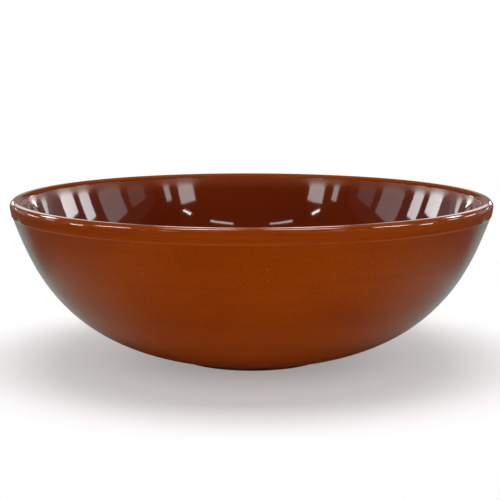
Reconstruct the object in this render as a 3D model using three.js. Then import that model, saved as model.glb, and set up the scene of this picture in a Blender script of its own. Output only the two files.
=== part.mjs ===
// A round terracotta salad bowl: one turned clay shell under three coats of glaze.
// Millimetres, +Z up. The origin is the middle of the ring that the bowl rests on.
import * as THREE from "three";

// Finished size, over the glaze.
const RIM_DIAMETER = 260;
const HEIGHT = 88;

// Rim: a collar round the outside that rolls over into a full round lip.
const LIP_THICKNESS = 6.6;
const COLLAR_HEIGHT = 7.8;
const COLLAR_TAPER = 9.5; // degrees from upright, narrowing downwards
const COLLAR_STEP = 0.5; // how far the collar stands proud of the wall

// Outside: one curve from the foot up to the collar. A rise is the curve's direction at one end, in
// degrees from level, and a pull is how far the curve is held to that direction.
const FOOT_RISE = 9.6;
const FOOT_PULL = 66;
const COLLAR_RISE = 70;
const COLLAR_PULL = 25;

// Inside: one curve from the middle of the floor, where it is level, up to the lip.
const FLOOR_THICKNESS = 7;
const FLOOR_PULL = 86;
const LIP_RISE = 72;
const LIP_PULL = 56;

// Foot: a low bare ring turned under the belly, with a shallow recess inside it.
const FOOT_DIAMETER = 82;
const FOOT_HEIGHT = 1.8;
const FOOT_ROUND = 1.2;
const RESTING_WIDTH = 6;
const RECESS_DEPTH = 2.5;
const RECESS_BEVEL = 3;

// Coats of glaze on the clay.
const INNER_GLAZE = 0.5;
const RIM_GLAZE = 0.5;
const OUTER_GLAZE = 0.4;
const GLAZE_CLEARANCE = 0.05; // between a coat and the clay that carries it

// Faces round the axis, and steps along each stretch of the profile.
const FACES_ROUND = 64;
const WALL_STEPS = 10;
const INSIDE_STEPS = 10;
const LIP_STEPS = 3; // on each side of the crest
const FOOT_STEPS = 3;

const { degToRad } = THREE.MathUtils;

// A point of the profile: its distance from the axis and its height.
const at = (radius, height) => new THREE.Vector2(radius, height);

// The direction that climbs away from the axis at an angle from level.
const rising = (degrees) => at(Math.cos(degToRad(degrees)), Math.sin(degToRad(degrees)));

// The profile's curve between two points, with its rise and its pull at each.
function sweep(start, startRise, startPull, end, endRise, endPull) {
  const leaving = start.clone().addScaledVector(rising(startRise), startPull);
  const arriving = end.clone().addScaledVector(rising(endRise), -endPull);
  return new THREE.CubicBezierCurve(start, leaving, arriving, end);
}

// The profile's arc round a centre, between two angles measured upwards from level.
function arc(centre, radius, startAngle, endAngle) {
  return new THREE.EllipseCurve(centre.x, centre.y, radius, radius, degToRad(startAngle), degToRad(endAngle));
}

// The clay's skin under a coat: the finished surface moved square to itself by the coat, towards the left
// of the direction in which the profile is drawn.
function under(surface, coat) {
  return surface.map((point, index) => {
    const before = surface[Math.max(index - 1, 0)];
    const after = surface[Math.min(index + 1, surface.length - 1)];
    const along = after.clone().sub(before).normalize();
    return at(point.x - coat * along.y, point.y + coat * along.x);
  });
}

// A solid of revolution, turned from the curve's upright axis onto +Z.
function turned(name, profile, material) {
  const geometry = new THREE.LatheGeometry(profile, FACES_ROUND).rotateX(Math.PI / 2);
  const mesh = new THREE.Mesh(geometry, new THREE.MeshStandardMaterial(material));
  mesh.name = name;
  return mesh;
}

// A coat between the finished surface and the clay's skin under it, as a ring that closes on itself.
const coatRing = (surface, skin) => [...surface, ...skin.toReversed(), surface[0]];

// Finished surface of the rim: the lip, the collar under it, and the step down to the outside wall.
const lipRadius = LIP_THICKNESS / 2;
const lipCentre = at(RIM_DIAMETER / 2 - lipRadius, HEIGHT - lipRadius);
const lipOutside = arc(lipCentre, lipRadius, -COLLAR_TAPER, 90).getPoints(LIP_STEPS);
const lipInside = arc(lipCentre, lipRadius, 90, 90 + LIP_RISE).getPoints(LIP_STEPS);
const lip = [...lipOutside, ...lipInside.slice(1)];
const collarBottom = HEIGHT - COLLAR_HEIGHT;
const collarDraw = (lip[0].y - collarBottom) * Math.tan(degToRad(COLLAR_TAPER));
const collarEdge = at(lip[0].x - collarDraw, collarBottom);
const wallTop = at(collarEdge.x - COLLAR_STEP, collarEdge.y - COLLAR_STEP);
const rim = [wallTop, collarEdge, ...lip];

// Finished surface of the outside wall, from the foot to the step under the collar.
const wallFoot = at(FOOT_DIAMETER / 2, FOOT_HEIGHT);
const wallCurve = sweep(wallFoot, FOOT_RISE, FOOT_PULL, wallTop, COLLAR_RISE, COLLAR_PULL);
const wall = wallCurve.getPoints(WALL_STEPS);

// Finished surface of the inside, from the lip down to the middle of the floor.
const floorMiddle = at(0, RECESS_DEPTH + FLOOR_THICKNESS + INNER_GLAZE);
const insideCurve = sweep(floorMiddle, 0, FLOOR_PULL, lip.at(-1), LIP_RISE, LIP_PULL);
const inside = insideCurve.getPoints(INSIDE_STEPS).toReversed();

// The surfaces under the three coats, at a clearance above the clay. Coats that meet share their end points,
// and the liner's middle stays on the axis.
function underCoats(clearance) {
  const wallSkin = under(wall, OUTER_GLAZE - clearance);
  const rimSkin = under(rim, RIM_GLAZE - clearance);
  const insideSkin = under(inside, INNER_GLAZE - clearance);
  rimSkin[0] = wallSkin.at(-1);
  insideSkin[0] = rimSkin.at(-1);
  insideSkin.at(-1).x = 0;
  return { wallSkin, rimSkin, insideSkin };
}
const clay = underCoats(0);
const glaze = underCoats(GLAZE_CLEARANCE);

// Bare clay under the bowl, from the middle of the recess out to the foot's rounded edge.
const footRound = Math.min(FOOT_ROUND, FOOT_HEIGHT);
const footCentre = at(clay.wallSkin[0].x - footRound, footRound);
const footEdge = arc(footCentre, footRound, -90, 0).getPoints(FOOT_STEPS);
const restingInner = footCentre.x - RESTING_WIDTH;
const recess = [at(0, RECESS_DEPTH), at(restingInner - RECESS_BEVEL, RECESS_DEPTH), at(restingInner, 0)];

const clayOutside = [...clay.wallSkin, ...clay.rimSkin.slice(1)];
const clayProfile = [...recess, ...footEdge, ...clayOutside, ...clay.insideSkin.slice(1)];
const innerProfile = [...glaze.insideSkin.toReversed(), ...inside];
const rimProfile = coatRing(rim, glaze.rimSkin);
const outerProfile = coatRing(wall, glaze.wallSkin);

const bowl = new THREE.Group();
bowl.add(
  turned("clay_body", clayProfile, { color: 0xb0653f, roughness: 0.85, metalness: 0 }),
  turned("inner_glaze", innerProfile, { color: 0x5b1e08, roughness: 0.06, metalness: 0 }),
  turned("rim_glaze", rimProfile, { color: 0x82360a, roughness: 0.08, metalness: 0 }),
  turned("outer_glaze", outerProfile, { color: 0x7f3303, roughness: 0.22, metalness: 0 }),
);

export default bowl;
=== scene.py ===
import bpy
import numpy as np
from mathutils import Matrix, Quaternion, Vector


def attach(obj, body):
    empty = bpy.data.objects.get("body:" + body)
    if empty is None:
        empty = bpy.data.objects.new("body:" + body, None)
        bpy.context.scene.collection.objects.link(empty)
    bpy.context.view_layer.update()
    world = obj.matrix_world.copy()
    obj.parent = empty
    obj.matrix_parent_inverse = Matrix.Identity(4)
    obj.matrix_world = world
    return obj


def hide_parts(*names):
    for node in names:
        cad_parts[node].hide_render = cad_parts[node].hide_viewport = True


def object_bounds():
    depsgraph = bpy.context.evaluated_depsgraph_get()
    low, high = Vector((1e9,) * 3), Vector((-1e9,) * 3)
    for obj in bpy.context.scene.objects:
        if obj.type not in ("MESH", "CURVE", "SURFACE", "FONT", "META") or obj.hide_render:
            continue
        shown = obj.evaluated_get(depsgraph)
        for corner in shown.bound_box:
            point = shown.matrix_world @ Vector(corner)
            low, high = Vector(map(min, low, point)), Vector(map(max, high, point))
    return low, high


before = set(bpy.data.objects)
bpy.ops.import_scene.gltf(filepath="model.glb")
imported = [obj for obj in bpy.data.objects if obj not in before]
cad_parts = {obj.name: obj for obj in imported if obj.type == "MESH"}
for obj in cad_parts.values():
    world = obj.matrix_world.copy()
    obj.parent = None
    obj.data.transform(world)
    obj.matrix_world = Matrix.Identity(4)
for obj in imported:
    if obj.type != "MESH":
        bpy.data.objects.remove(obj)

cad_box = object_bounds()


# Clay body: the shell that carries the glazes, thrown in one piece from red earthenware and turned to a
# collar, a full round lip and a low foot ring, then fired. It shows bare only under the bowl, on the foot
# ring and in the recess inside it, where the turning tool has left its rings.
def rising(degrees):
    """Direction in the profile: an angle's cosine away from the axis and its sine upwards, from level."""
    angle = np.radians(degrees)
    return np.array([np.cos(angle), np.sin(angle)])


def swept(start, start_rise, start_pull, end, end_rise, end_pull, steps):
    """Cubic curve from start to end: they and two points pulled along their rises, weighted with (1-t)^3,
    3(1-t)^2 t, 3(1-t) t^2 and t^3, for t in even steps from 0 to 1."""
    t = np.linspace(0, 1, steps + 1)[:, None]
    leaving = start + start_pull * rising(start_rise)
    arriving = end - end_pull * rising(end_rise)
    return (1 - t) ** 3 * start + 3 * (1 - t) ** 2 * t * leaving + 3 * (1 - t) * t**2 * arriving + t**3 * end


def rounded(centre, radius, start, end, steps):
    """Arc: the centre plus the radius times the direction, for angles in even steps from start to end."""
    return centre + radius * rising(np.linspace(start, end, steps + 1)).T


def under(surface, depth):
    """Offset: each point moved by depth to the left of the way the profile runs there, which is the
    difference between its neighbours at unit length."""
    along = np.gradient(surface, axis=0)
    along /= np.linalg.norm(along, axis=1, keepdims=True)
    return surface + depth * np.stack([-along[:, 1], along[:, 0]], axis=1)


# Finished rim: the lip, the collar under it and the collar's rolled edge, in millimetres and degrees.
MM = 0.001
BOWL_HEIGHT = cad_box[1].z / MM
RIM_RADIUS = cad_box[1].x / MM
LIP_ROUND = 3.3
LIP_RISE = 72
COLLAR_HEIGHT = 7.8
COLLAR_TAPER = 9.5
COLLAR_ROLL = 0.55
ROLL_START = -75
COLLAR_STEP = 0.5
LIP_STEPS = 48
COLLAR_STEPS = 6
ROLL_STEPS = 8
lip_centre = np.array([RIM_RADIUS - LIP_ROUND, BOWL_HEIGHT - LIP_ROUND])
lip = rounded(lip_centre, LIP_ROUND, -COLLAR_TAPER, 90 + LIP_RISE, LIP_STEPS)
collar_bottom = BOWL_HEIGHT - COLLAR_HEIGHT
collar_draw = (lip[0, 1] - collar_bottom) * np.tan(np.radians(COLLAR_TAPER))
collar_edge = np.array([lip[0, 0] - collar_draw, collar_bottom])
roll_centre = collar_edge - COLLAR_ROLL * rising(-COLLAR_TAPER)
roll = rounded(roll_centre, COLLAR_ROLL, ROLL_START, -COLLAR_TAPER, ROLL_STEPS)
collar = np.linspace(roll[-1], lip[0], COLLAR_STEPS + 1)
wall_top = collar_edge - COLLAR_STEP
rim = np.vstack([wall_top, roll, collar[1:-1], lip])

# Finished wall and inside, one curve each. A rise is the curve's direction at one end, from level, and a
# pull is how far it is held to that direction.
FOOT_RADIUS = 41
FOOT_HEIGHT = 1.8
FOOT_RISE = 9.6
FOOT_PULL = 66
COLLAR_RISE = 70
COLLAR_PULL = 25
FLOOR_TOP = 10
FLOOR_PULL = 86
LIP_PULL = 56
CURVE_STEPS = 96
wall_foot = np.array([FOOT_RADIUS, FOOT_HEIGHT])
wall = swept(wall_foot, FOOT_RISE, FOOT_PULL, wall_top, COLLAR_RISE, COLLAR_PULL, CURVE_STEPS)
floor_middle = np.array([0, FLOOR_TOP])
inside = swept(floor_middle, 0, FLOOR_PULL, lip[-1], LIP_RISE, LIP_PULL, CURVE_STEPS)[::-1]

# Thickness of the coats of glaze that the clay lies under.
WALL_COAT = 0.4
RIM_COAT = 0.5
LINER_COAT = 0.5


def under_coats(gap):
    """Offsets of the three finished surfaces by their coats, less a gap over the clay. Coats that meet share
    their end points, and the liner's last point is on the axis."""
    wall_skin = under(wall, WALL_COAT - gap)
    rim_skin = under(rim, RIM_COAT - gap)
    inside_skin = under(inside, LINER_COAT - gap)
    rim_skin[0] = wall_skin[-1]
    inside_skin[0] = rim_skin[-1]
    inside_skin[-1, 0] = 0
    return wall_skin, rim_skin, inside_skin


# The clay's own profile, from the middle of the recess out over the foot, up the wall, over the lip and back
# to the middle of the floor. Hidden under the wall's and the inside's coats, it keeps one point in three.
FOOT_ROUND = 1.2
RESTING_WIDTH = 6
RECESS_DEPTH = 2.5
RECESS_BEVEL = 3
RING_DEPTH = 0.06
RING_PITCH = 2.9
FOOT_STEPS = 8
RECESS_STEPS = 89
BEVEL_STEPS = 5
HIDDEN_STRIDE = 3
wall_clay, rim_clay, inside_clay = under_coats(0)
foot_centre = np.array([wall_clay[0, 0] - FOOT_ROUND, FOOT_ROUND])
foot_edge = rounded(foot_centre, FOOT_ROUND, -90, 0, FOOT_STEPS)
resting_inner = foot_centre[0] - RESTING_WIDTH
recess_out = np.linspace(0, resting_inner - RECESS_BEVEL, RECESS_STEPS + 1)
turning_rings = RING_DEPTH * np.cos(recess_out * 2 * np.pi / RING_PITCH)
recess = np.stack([recess_out, RECESS_DEPTH - RING_DEPTH + turning_rings], axis=1)
bevel = np.linspace(recess[-1], [resting_inner, 0], BEVEL_STEPS + 1)[1:]
clay_outside = np.vstack([wall_clay[::HIDDEN_STRIDE], rim_clay[1:]])
clay_inside = np.vstack([inside_clay[1:-1:HIDDEN_STRIDE], inside_clay[-1:]])
clay_profile = np.vstack([recess, bevel, foot_edge, clay_outside, clay_inside])

# Hand turning: how far each wave of its unevenness goes, and by what turn in radians it is ahead.
OVAL_SWELL = 0.0006
OVAL_AHEAD = 0.6
THREEFOLD_SWELL = 0.0003
THREEFOLD_AHEAD = 2.0
LIP_ROCK = 0.15
ROCK_AHEAD = 1.1

# Steps round the axis, and the angle in degrees past which an edge stays sharp.
STEPS_ROUND = 256
SHARP_EDGE = 50


def by_hand(radius, height, turn):
    """Unevenness of hand turning: the radius times 1 plus two waves and three smaller ones round the axis,
    and the height plus two waves that grow with height squared, up to the lip's rock at the lip."""
    oval = OVAL_SWELL * np.cos(2 * turn + OVAL_AHEAD)
    threefold = THREEFOLD_SWELL * np.cos(3 * turn + THREEFOLD_AHEAD)
    rocking = LIP_ROCK * (height / BOWL_HEIGHT) ** 2 * np.cos(2 * turn + ROCK_AHEAD)
    return radius * (1 + oval + threefold), height + rocking


def turned(name, profile, ring=False):
    """Surface of revolution: every profile point (radius, height) goes round the axis in even steps, at
    (radius cos turn, radius sin turn, height). A ring's profile closes on itself, and a point on the axis
    is one point for the whole turn."""
    turn = np.linspace(0, 2 * np.pi, STEPS_ROUND, endpoint=False)
    radius, height = by_hand(profile[:, :1], profile[:, 1:], turn)
    points = MM * np.stack([radius * np.cos(turn), radius * np.sin(turn), height], axis=-1)
    numbers = np.arange(radius.size).reshape(radius.shape)
    on_axis = profile[:, 0] == 0
    numbers[on_axis] = numbers[on_axis, :1]
    kept, numbers = np.unique(numbers, return_inverse=True)
    numbers = numbers.reshape(radius.shape)
    if ring:
        numbers = np.vstack([numbers, numbers[:1]])
    here, beyond = numbers[:-1], numbers[1:]
    corners = [here, np.roll(here, -1, axis=1), np.roll(beyond, -1, axis=1), beyond]
    faces = np.stack(corners, axis=-1).reshape(-1, 4)
    distinct = faces != np.roll(faces, 1, axis=1)
    whole = distinct.all(axis=1)
    triangles = faces[~whole][distinct[~whole]].reshape(-1, 3)
    mesh = bpy.data.meshes.new(name)
    mesh.from_pydata(points.reshape(-1, 3)[kept].tolist(), [], faces[whole].tolist() + triangles.tolist())
    mesh.shade_smooth()
    mesh.set_sharp_from_angle(angle=np.radians(SHARP_EDGE))
    piece = bpy.data.objects.new(name, mesh)
    bpy.context.scene.collection.objects.link(piece)
    return piece


clay_shell = turned("clay_shell", clay_profile)


class Wire:
    """A shader socket to reckon with: arithmetic on it adds Math nodes to the socket's own tree."""

    def __init__(self, socket):
        self.socket = socket

    def node(self, kind, settings, sockets, output=0):
        """Adds any node: its settings first, then a value or a wire for each socket named."""
        tree = self.socket.id_data
        made = tree.nodes.new(kind)
        for name, value in settings.items():
            setattr(made, name, value)
        for name, value in sockets.items():
            if isinstance(value, Wire):
                tree.links.new(value.socket, made.inputs[name])
            else:
                made.inputs[name].default_value = value
        return Wire(made.outputs[output]) if made.outputs else None

    def reckon(self, operation, first, second):
        """Adds a Math node: the operation on first and second, each of them a number or a wire."""
        return self.node("ShaderNodeMath", {"operation": operation}, {0: first, 1: second})

    def __add__(self, other):
        return self.reckon("ADD", self, other)

    def __radd__(self, other):
        return self.reckon("ADD", other, self)

    def __sub__(self, other):
        return self.reckon("SUBTRACT", self, other)

    def __rsub__(self, other):
        return self.reckon("SUBTRACT", other, self)

    def __mul__(self, other):
        return self.reckon("MULTIPLY", self, other)

    def __rmul__(self, other):
        return self.reckon("MULTIPLY", other, self)


def finish_named(name):
    """An empty material, and the wire of the piece's own coordinates in metres."""
    material = bpy.data.materials.new(name)
    material.use_nodes = True
    material.node_tree.nodes.clear()
    return material, Wire(material.node_tree.nodes.new("ShaderNodeTexCoord").outputs["Object"])


def paint(code):
    """Linear colour of a hex code: (c / 12.92) below 0.04045, else ((c + 0.055) / 1.055) ^ 2.4."""
    coded = np.array([int(code[i : i + 2], 16) for i in (0, 2, 4)]) / 255
    linear = np.where(coded < 0.04045, coded / 12.92, ((coded + 0.055) / 1.055) ** 2.4)
    return (*linear.tolist(), 1.0)


def grain(place, stretch, detail=2.0):
    """Noise between 0 and 1, with stretch patches to the metre along each axis."""
    spread = place.node("ShaderNodeVectorMath", {"operation": "MULTIPLY"}, {0: place, 1: stretch})
    return place.node("ShaderNodeTexNoise", {}, {"Vector": spread, "Scale": 1.0, "Detail": detail})


def between(value, low, high):
    """Mask: 0 up to low, 1 from high, and a smooth step between them."""
    limits = {"Value": value, "From Min": low, "From Max": high}
    return value.node("ShaderNodeMapRange", {"interpolation_type": "SMOOTHSTEP"}, limits)


def tinted(mask, base, other):
    """Colour that goes from base to other as the mask goes from 0 to 1."""
    return mask.node("ShaderNodeMix", {"data_type": "RGBA"}, {0: mask, 6: base, 7: other}, 2)


# Bare terracotta: fired unevenly, lined by the tool, gritty, and stained by the glaze wiped off the foot.
# The dark stain round the foot's outer edge is also painted shade, where the foot sits under the belly. It
# sets in between two distances from the axis, in metres as the relief is.
STAIN_AND_SHADE = (0.0388, 0.0394)
CLAY_RELIEF = 0.00012
terracotta, place = finish_named("bare_terracotta")
flat_place = place.node("ShaderNodeVectorMath", {"operation": "MULTIPLY"}, {0: place, 1: (1.0, 1.0, 0.0)})
from_axis = place.node("ShaderNodeVectorMath", {"operation": "LENGTH"}, {0: flat_place}, "Value")
tool_lines = place.node(
    "ShaderNodeTexNoise", {"noise_dimensions": "1D"}, {"W": from_axis * 900.0, "Scale": 1.0}
)
firing = grain(place, (45.0, 45.0, 45.0), 3.0)
grit = grain(place, (1500.0, 1500.0, 1500.0))
clay_tone = tinted(between(firing, 0.3, 0.7), paint("a2582f"), paint("bd7248"))
clay_tone = tinted(between(tool_lines, 0.35, 0.75) * 0.35, clay_tone, paint("cd8a60"))
clay_tone = tinted(between(grit, 0.6, 0.72) * 0.5, clay_tone, paint("7a3f24"))
# Dark stain and painted shade round the foot's outer edge, under the belly.
stain_and_painted_shade = between(from_axis, *STAIN_AND_SHADE) * (0.75 + firing * 0.5)
clay_tone = tinted(stain_and_painted_shade, clay_tone, paint("431605"))
clay_relief = place.node(
    "ShaderNodeBump",
    {},
    {"Strength": 1.0, "Distance": CLAY_RELIEF, "Height": tool_lines * 0.6 + grit * 0.4},
)
clay_surface = place.node(
    "ShaderNodeBsdfPrincipled",
    {},
    {
        "Base Color": clay_tone,
        "Roughness": 0.78 + firing * 0.2,
        "Normal": clay_relief,
        "Specular IOR Level": 0.3,
    },
)
place.node("ShaderNodeOutputMaterial", {}, {"Surface": clay_surface})
clay_shell.data.materials.append(terracotta)
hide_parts("clay_body")
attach(clay_shell, "root")


# Liner: a dark brick-brown glaze, poured into the bowl, swirled over the whole inside and poured out, and
# fired to a mirror gloss. It grows lighter and orange-brown towards the lip.
GLAZE_GAP = 0.05
wall_back, rim_back, inside_back = under_coats(GLAZE_GAP)
liner = turned("liner", np.vstack([inside_back[::-1], inside]))

# Heights in metres between which the glaze grows lighter and its gloss softens, and how far its runs reach.
LIGHTER_TOWARDS_LIP = (0.0785, 0.0868)
SOFTENING = (0.0795, 0.0865)
RUN_LENGTH = 0.0025
LINER_RELIEF = 0.000012
liner_glaze, place = finish_named("liner_gloss")
up = place.node("ShaderNodeSeparateXYZ", {}, {"Vector": place}, "Z")
pooling = grain(place, (28.0, 28.0, 28.0), 3.0)
speckle = grain(place, (900.0, 900.0, 900.0))
run = grain(place, (90.0, 90.0, 14.0), 2.0)
liner_tone = tinted(between(pooling, 0.3, 0.7), paint("651e01"), paint("6e2302"))
liner_tone = tinted(between(speckle, 0.5, 0.8) * 0.3, liner_tone, paint("792a06"))
liner_tone = tinted(between(up + run * RUN_LENGTH, *LIGHTER_TOWARDS_LIP), liner_tone, paint("7c3712"))
swirl = grain(place, (60.0, 60.0, 170.0), 2.0)
liner_relief = place.node(
    "ShaderNodeBump", {}, {"Strength": 1.0, "Distance": LINER_RELIEF, "Height": swirl}
)
liner_surface = place.node(
    "ShaderNodeBsdfPrincipled",
    {},
    {
        "Base Color": liner_tone,
        "Roughness": 0.03 + speckle * 0.03 + between(up, *SOFTENING) * 0.2,
        "Normal": liner_relief,
        "IOR": 1.5,
    },
)
place.node("ShaderNodeOutputMaterial", {}, {"Surface": liner_surface})
liner.data.materials.append(liner_glaze)
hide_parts("inner_glaze")
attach(liner, "root")


# Wall coat: a satin orange-brown glaze on the outside, from the collar down to the foot, where it is wiped
# off the clay before firing. The turned clay under it shows as faint level streaks and a fine mottle.
wall_coat = turned("wall_coat", np.vstack([wall, wall_back[::-1]]), ring=True)

# Heights in metres between which two marks fade out: the dark band at the wiped edge, painted shade where
# the belly meets the foot, and the lighter orange of the lower belly, painted light against its shade.
FOOT_PAINTED_SHADE = (0.0018, 0.003)
BELLY_PAINTED_LIGHT = (0.003, 0.043)
WALL_RELIEF = 0.00002
wall_glaze, place = finish_named("wall_satin")
up = place.node("ShaderNodeSeparateXYZ", {}, {"Vector": place}, "Z")
patches = grain(place, (22.0, 22.0, 30.0), 3.0)
mottle = grain(place, (1100.0, 1100.0, 1100.0), 2.0)
streaks = grain(place, (7.0, 7.0, 420.0), 4.0)
wall_tone = tinted(between(patches, 0.3, 0.7), paint("792b00"), paint("803100"))
wall_tone = tinted(between(mottle, 0.4, 0.8) * 0.35, wall_tone, paint("903f02"))
wall_tone = tinted(between(mottle, 0.6, 0.2) * 0.35, wall_tone, paint("632200"))
wall_tone = tinted(between(streaks, 0.45, 0.75) * 0.3, wall_tone, paint("6a2400"))
# Painted light: the lower belly is lighter orange towards the foot, to make up for the shade under it.
wall_tone = tinted(1 - between(up, *BELLY_PAINTED_LIGHT), wall_tone, paint("a94804"))
# Painted shade: a dark band at the bottom of the belly, where it meets the foot.
wall_tone = tinted((1 - between(up, *FOOT_PAINTED_SHADE)) * 0.5, wall_tone, paint("4f1a00"))
pinholes = grain(place, (850.0, 850.0, 850.0), 0.0)
wall_tone = tinted(between(pinholes, 0.85, 0.88) * 0.6, wall_tone, paint("a8704a"))
wall_relief = place.node(
    "ShaderNodeBump",
    {},
    {"Strength": 1.0, "Distance": WALL_RELIEF, "Height": streaks * 0.8 + mottle * 0.12},
)
wall_surface = place.node(
    "ShaderNodeBsdfPrincipled",
    {},
    {
        "Base Color": wall_tone,
        "Roughness": 0.28 + mottle * 0.03,
        "Normal": wall_relief,
        "IOR": 1.5,
        "Specular IOR Level": 0.25,
        "Specular Tint": (1.0, 0.32, 0.03, 1.0),
    },
)
place.node("ShaderNodeOutputMaterial", {}, {"Surface": wall_surface})
wall_coat.data.materials.append(wall_glaze)
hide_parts("outer_glaze")
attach(wall_coat, "root")


# Rim coat: a brown gloss glaze, brushed on a band over the collar and the lip. It ends in a thick rolled
# edge under the collar, a little paler along it, and breaks paler where it thins over the crest of the lip.
rim_band = turned("rim_band", np.vstack([rim, rim_back[::-1]]), ring=True)

# Heights in metres between which the paler band sets in and fades out at the collar's edge, and the pale
# break sets in at the crest.
EDGE_SETS_IN = (0.0795, 0.0800)
EDGE_FADES_OUT = (0.0804, 0.0812)
CREST_SETS_IN = (0.0868, 0.0878)
RIM_RELIEF = 0.00001
rim_glaze, place = finish_named("rim_gloss")
up = place.node("ShaderNodeSeparateXYZ", {}, {"Vector": place}, "Z")
brushing = grain(place, (9.0, 9.0, 700.0), 4.0)
speckle = grain(place, (900.0, 900.0, 900.0))
rim_tone = tinted(between(brushing, 0.3, 0.7), paint("782b00"), paint("843400"))
rim_tone = tinted(between(speckle, 0.5, 0.8) * 0.3, rim_tone, paint("8e3d04"))
edge = between(up, *EDGE_SETS_IN) * (1 - between(up, *EDGE_FADES_OUT))
rim_tone = tinted(edge * 0.2, rim_tone, paint("964c1c"))
rim_tone = tinted(between(up, *CREST_SETS_IN) * 0.5, rim_tone, paint("784527"))
rim_relief = place.node(
    "ShaderNodeBump", {}, {"Strength": 1.0, "Distance": RIM_RELIEF, "Height": brushing}
)
rim_surface = place.node(
    "ShaderNodeBsdfPrincipled",
    {},
    {
        "Base Color": rim_tone,
        "Roughness": 0.05 + speckle * 0.05,
        "Normal": rim_relief,
        "IOR": 1.5,
        "Specular IOR Level": 0.35,
        "Specular Tint": (1.0, 0.9, 0.85, 1.0),
    },
)
place.node("ShaderNodeOutputMaterial", {}, {"Surface": rim_surface})
rim_band.data.materials.append(rim_glaze)
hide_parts("rim_glaze")
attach(rim_band, "root")


# Studio cove: a sheet of matt white paper, laid flat under the bowl and curved up into a low wall all round.
# It takes the bowl's shadow close by and is seen as plain white further out. The gloss sees a dim floor in
# its place, with a pale gleam round the bowl. A hole under the foot lets light up into the recess.
FLOOR_RADIUS = 5000
COVE_ROUND = 900
COVE_HEIGHT = 1250
FOOT_OPENING = 39.2
COVE_STEPS = 16
FLOOR_STEPS = 11
cove_centre = np.array([FLOOR_RADIUS, COVE_ROUND])
cove_curve = rounded(cove_centre, COVE_ROUND, 0, -90, COVE_STEPS)
cove_top = [FLOOR_RADIUS + COVE_ROUND, COVE_HEIGHT]
laid_flat = np.linspace([FLOOR_RADIUS, 0], [FOOT_OPENING, 0], FLOOR_STEPS + 1)[1:]
cove = turned("studio_cove", np.vstack([cove_top, cove_curve, laid_flat]))

white_paper, place = finish_named("white_paper")
camera_ray = place.node("ShaderNodeLightPath", {}, {}, "Is Camera Ray")
glossy_ray = place.node("ShaderNodeLightPath", {}, {}, "Is Glossy Ray")
transmission_ray = place.node("ShaderNodeLightPath", {}, {}, "Is Transmission Ray")

# Metres from the middle of the bowl, and how far that way leads backward: -1 to the front, 1 to the back.
away = place.node("ShaderNodeVectorMath", {"operation": "LENGTH"}, {0: place}, "Value")
heading = place.node("ShaderNodeVectorMath", {"operation": "NORMALIZE"}, {0: place})
backward = place.node("ShaderNodeSeparateXYZ", {}, {"Vector": heading}, "Y")

# The paper, and for the gloss the dim floor in its place, in three tones that meet at two distances.
PAPER_TONE = (0.93, 0.93, 0.93, 1.0)
NEAR_TONE = (0.21, 0.28, 0.26, 1.0)
DIM_TONE = (0.06, 0.08, 0.07, 1.0)
DISTANT_TONE = (0.2, 0.1, 0.07, 1.0)
NEAR_TO_DIM = (0.19, 0.25)
DIM_TO_DISTANT = (0.4, 0.46)
outer_tone = tinted(between(away, *DIM_TO_DISTANT), DIM_TONE, DISTANT_TONE)
mirrored_tone = tinted(between(away, *NEAR_TO_DIM), NEAR_TONE, outer_tone)
paper_tone = tinted(glossy_ray, PAPER_TONE, mirrored_tone)
paper = place.node(
    "ShaderNodeBsdfPrincipled",
    {},
    {"Base Color": paper_tone, "Roughness": 1.0, "Specular IOR Level": 0.0},
)

# The gleam: a ring on the floor, from under the belly out past the rim. It is wider behind the bowl, and it
# grows stronger from the front to the sides and again to the back.
GLEAM_TONE = (0.63, 1.0, 0.97, 1.0)
GLEAM_LEVEL = 1.2
GLEAM_SETS_IN = (0.065, 0.115)
GLEAM_FADES_OUT = (0.155, 0.21)
GLEAM_WIDENS = (0.36, 0.62)
WIDER_BY = 0.25
FRONT_TO_SIDE = (-0.95, -0.4)
SIDE_TO_BACK = (-0.1, 0.6)
pale_gleam = place.node("ShaderNodeEmission", {}, {"Color": GLEAM_TONE, "Strength": GLEAM_LEVEL})
gleam_edge = away - between(backward, *GLEAM_WIDENS) * WIDER_BY
gleam_ring = between(away, *GLEAM_SETS_IN) * (1 - between(gleam_edge, *GLEAM_FADES_OUT))
gleam_side = 0.35 + between(backward, *FRONT_TO_SIDE) * 0.65 + between(backward, *SIDE_TO_BACK) * 0.85
gleam = glossy_ray * gleam_ring * gleam_side * 0.4
gleaming = place.node("ShaderNodeMixShader", {}, {0: gleam, 1: paper, 2: pale_gleam})

# Plain white: for the camera least at the foot, which keeps its shadow, and full where the shadow ends.
PLAIN_WHITE = (1.0, 1.0, 1.0, 1.0)
FOOT_SHADOW = (0.03, 0.11)
SOFT_SHADOW = (0.12, 0.4)
FAR_PAPER = (1.0, 3.0)
plain_white = place.node("ShaderNodeEmission", {}, {"Color": PLAIN_WHITE, "Strength": 1.0})
seen_share = 0.28 + between(away, *FOOT_SHADOW) * 0.2 + between(away, *SOFT_SHADOW) * 0.52
mirrored_share = (glossy_ray * 0.25 + transmission_ray) * between(away, *FAR_PAPER)
white = camera_ray * seen_share + mirrored_share
paper_front = place.node("ShaderNodeMixShader", {}, {0: white, 1: gleaming, 2: plain_white})

# From below, the camera looks through the paper.
from_below = place.node("ShaderNodeNewGeometry", {}, {}, "Backfacing") * camera_ray
clear = place.node("ShaderNodeBsdfTransparent", {}, {})
paper_surface = place.node("ShaderNodeMixShader", {}, {0: from_below, 1: paper_front, 2: clear})
place.node("ShaderNodeOutputMaterial", {}, {"Surface": paper_surface})
cove.data.materials.append(white_paper)


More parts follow.
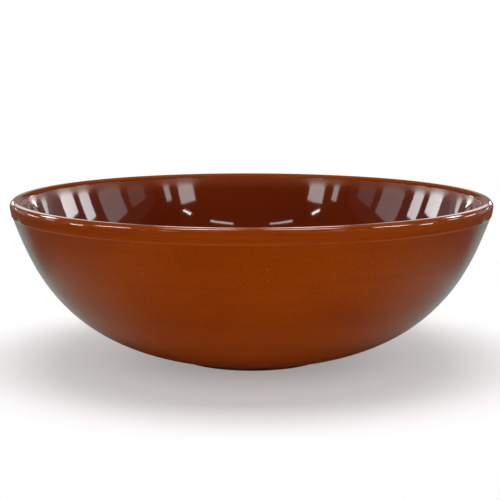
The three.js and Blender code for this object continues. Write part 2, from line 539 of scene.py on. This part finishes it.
# Lamps: soft boxes and strips as a product studio hangs them, in a dim grey room. Those overhead, in front,
# behind, low at the sides and under the floor light the bowl. The others only show in its gloss, as panels
# and dashes on the inside and, where a grid holds them to a beam, as lines along the lip.
ROOM_LEVEL = 0.05
room = bpy.data.worlds.new("dim_room")
room.use_nodes = True
room.node_tree.nodes.clear()
direction = Wire(room.node_tree.nodes.new("ShaderNodeTexCoord").outputs["Generated"])
skyward = direction.node("ShaderNodeSeparateXYZ", {}, {"Vector": direction}, "Z")
camera_ray = direction.node("ShaderNodeLightPath", {}, {}, "Is Camera Ray")
glossy_ray = direction.node("ShaderNodeLightPath", {}, {}, "Is Glossy Ray")
transmission_ray = direction.node("ShaderNodeLightPath", {}, {}, "Is Transmission Ray")
below = 1 - between(skyward, -0.02, 0.0)
white_seen = camera_ray + (glossy_ray + transmission_ray) * below
dim_grey = direction.node("ShaderNodeBackground", {}, {"Strength": ROOM_LEVEL})
all_white = direction.node("ShaderNodeBackground", {}, {"Color": PLAIN_WHITE, "Strength": 1.0})
room_light = direction.node("ShaderNodeMixShader", {}, {0: white_seen, 1: dim_grey, 2: all_white})
direction.node("ShaderNodeOutputWorld", {}, {"Surface": room_light})
bpy.context.scene.world = room

BOWL_MIDDLE = (0, 0, 0.05)


def lamp(name, place, size, level, aim=BOWL_MIDDLE, roll=0, shines=True, beam=180):
    """Flat lamp that faces its aim, rolled round that line by some degrees: its power is level times pi
    times its area, which makes it look level times as bright as white paper, and a grid that holds it to a
    beam takes 1 - half / tan(half) of that, for half the beam. It shines in the gloss, or else it lights
    the bowl."""
    half = np.radians(beam / 2)
    light = bpy.data.lights.new(name, "AREA")
    light.shape = "RECTANGLE"
    light.size, light.size_y = size
    light.energy = level * np.pi * size[0] * size[1] * (1 - half / np.tan(half))
    light.spread = 2 * half
    hung = bpy.data.objects.new(name, light)
    hung.location = place
    facing = (Vector(aim) - Vector(place)).to_track_quat("-Z", "Y")
    hung.rotation_euler = (facing @ Quaternion((0, 0, 1), np.radians(roll))).to_euler()
    hung.visible_camera = False
    hung.visible_diffuse = not shines
    hung.visible_glossy = shines
    bpy.context.scene.collection.objects.link(hung)


def out_at(side, rise, distance=2.0):
    """Place at a distance from the bowl's middle: the distance times the cosine of the rise goes outwards,
    side degrees round from the front to the right, and the distance times the sine of the rise upwards."""
    turn, lift = np.radians(side), np.radians(rise)
    reach = distance * np.cos(lift)
    return (reach * np.sin(turn), -reach * np.cos(turn), BOWL_MIDDLE[2] + distance * np.sin(lift))


lamp("overhead", (0, 0.1, 1.9), (1.5, 1.3), 7.0, shines=False)
lamp("low_front", (0, -2.3, 0.18), (1.8, 0.34), 13, shines=False)
lamp("low_back", (0, 2.3, 0.3), (2.0, 0.5), 4, shines=False)
lamp("under_floor", (0, 0, -1.0), (1.2, 1.2), 3.2, shines=False)
for hand in (-1, 1):
    lamp("low_side", (hand * 2.3, -0.2, 0.18), (1.2, 0.34), 1.4, shines=False)
    lip_front = (hand * 0.025, -0.125, 0.088)
    lip_turn = (hand * 0.065, -0.111, 0.086)
    lip_side = (hand * 0.1, -0.08, 0.087)
    lamp("lip_line_back", (hand * 0.072, 0.341, 0.463), (0.113, 0.1), 15, lip_front, hand * 28, beam=30)
    lamp("lip_line_top", (hand * 0.155, -0.103, 0.667), (0.26, 0.08), 36, lip_front, hand * 66, beam=30)
    lamp("lip_line_turn", (hand * 0.289, -0.151, 0.28), (0.1, 0.05), 26, lip_turn, hand * -46, beam=44)
    lamp("lip_dash_low", (hand * 0.369, -0.103, 0.178), (0.045, 0.025), 36, lip_turn, hand * -9, beam=44)
    lamp("lip_dash_high", (hand * 0.278, 0.096, 0.248), (0.04, 0.04), 26, lip_side, hand * -40, beam=44)
    lamp("lip_card", (hand * 0.24, 0.475, 0.3), (0.24, 0.25), 3.6, lip_side, beam=30)
    lamp("side_panel", out_at(hand * 123, 16.7), (0.38, 0.14), 8.8, roll=hand * -12)
    lamp("side_panel_next", out_at(hand * 109.4, 21.6), (0.25, 0.17), 9, roll=hand * -8)
    lamp("side_haze", out_at(hand * 91, 26.7), (0.5, 0.28), 1.6)
    lamp("side_haze_next", out_at(hand * 73, 28.5), (0.34, 0.14), 0.6)
    lamp("side_wash", out_at(hand * 92, 26), (1.9, 0.7), 0.1)
    lamp("back_wash", out_at(hand * 135.5, 13.5), (0.5, 0.6), 0.4)
    lamp("front_panel_narrow", out_at(hand * 53, 31.8), (0.1, 0.14), 5)
    lamp("front_panel", out_at(hand * 41, 33.4), (0.28, 0.18), 6)
    lamp("dash_short", out_at(hand * 43.8, 39.1), (0.14, 0.03), 24, roll=hand * -35)
    lamp("dash_long", out_at(hand * 22, 46.8), (0.4, 0.035), 9, roll=hand * -16)
    lamp("back_panel", out_at(hand * 145, 9.5), (0.18, 0.07), 3.4)
    lamp("back_panel_next", out_at(hand * 158, 6.5), (0.2, 0.12), 7)


# Camera: a long lens at the distance and height of the photograph, as its outline gives them. It looks a
# little down, over the near lip and into the bowl.
PHOTO_WIDTH = 500
FOCAL_PIXELS = 1441
SENSOR_WIDTH = 36
CAMERA_PLACE = (-0.00085, -0.780, 0.1772)
LOOKING_DOWN = 8.67
eye = bpy.data.cameras.new("camera")
eye.sensor_width = SENSOR_WIDTH
eye.lens = SENSOR_WIDTH * FOCAL_PIXELS / PHOTO_WIDTH
camera = bpy.data.objects.new("camera", eye)
camera.location = CAMERA_PLACE
camera.rotation_euler = (np.radians(90 - LOOKING_DOWN), 0, 0)
bpy.context.scene.collection.objects.link(camera)
bpy.context.scene.camera = camera
bpy.context.scene.view_settings.view_transform = "Standard"
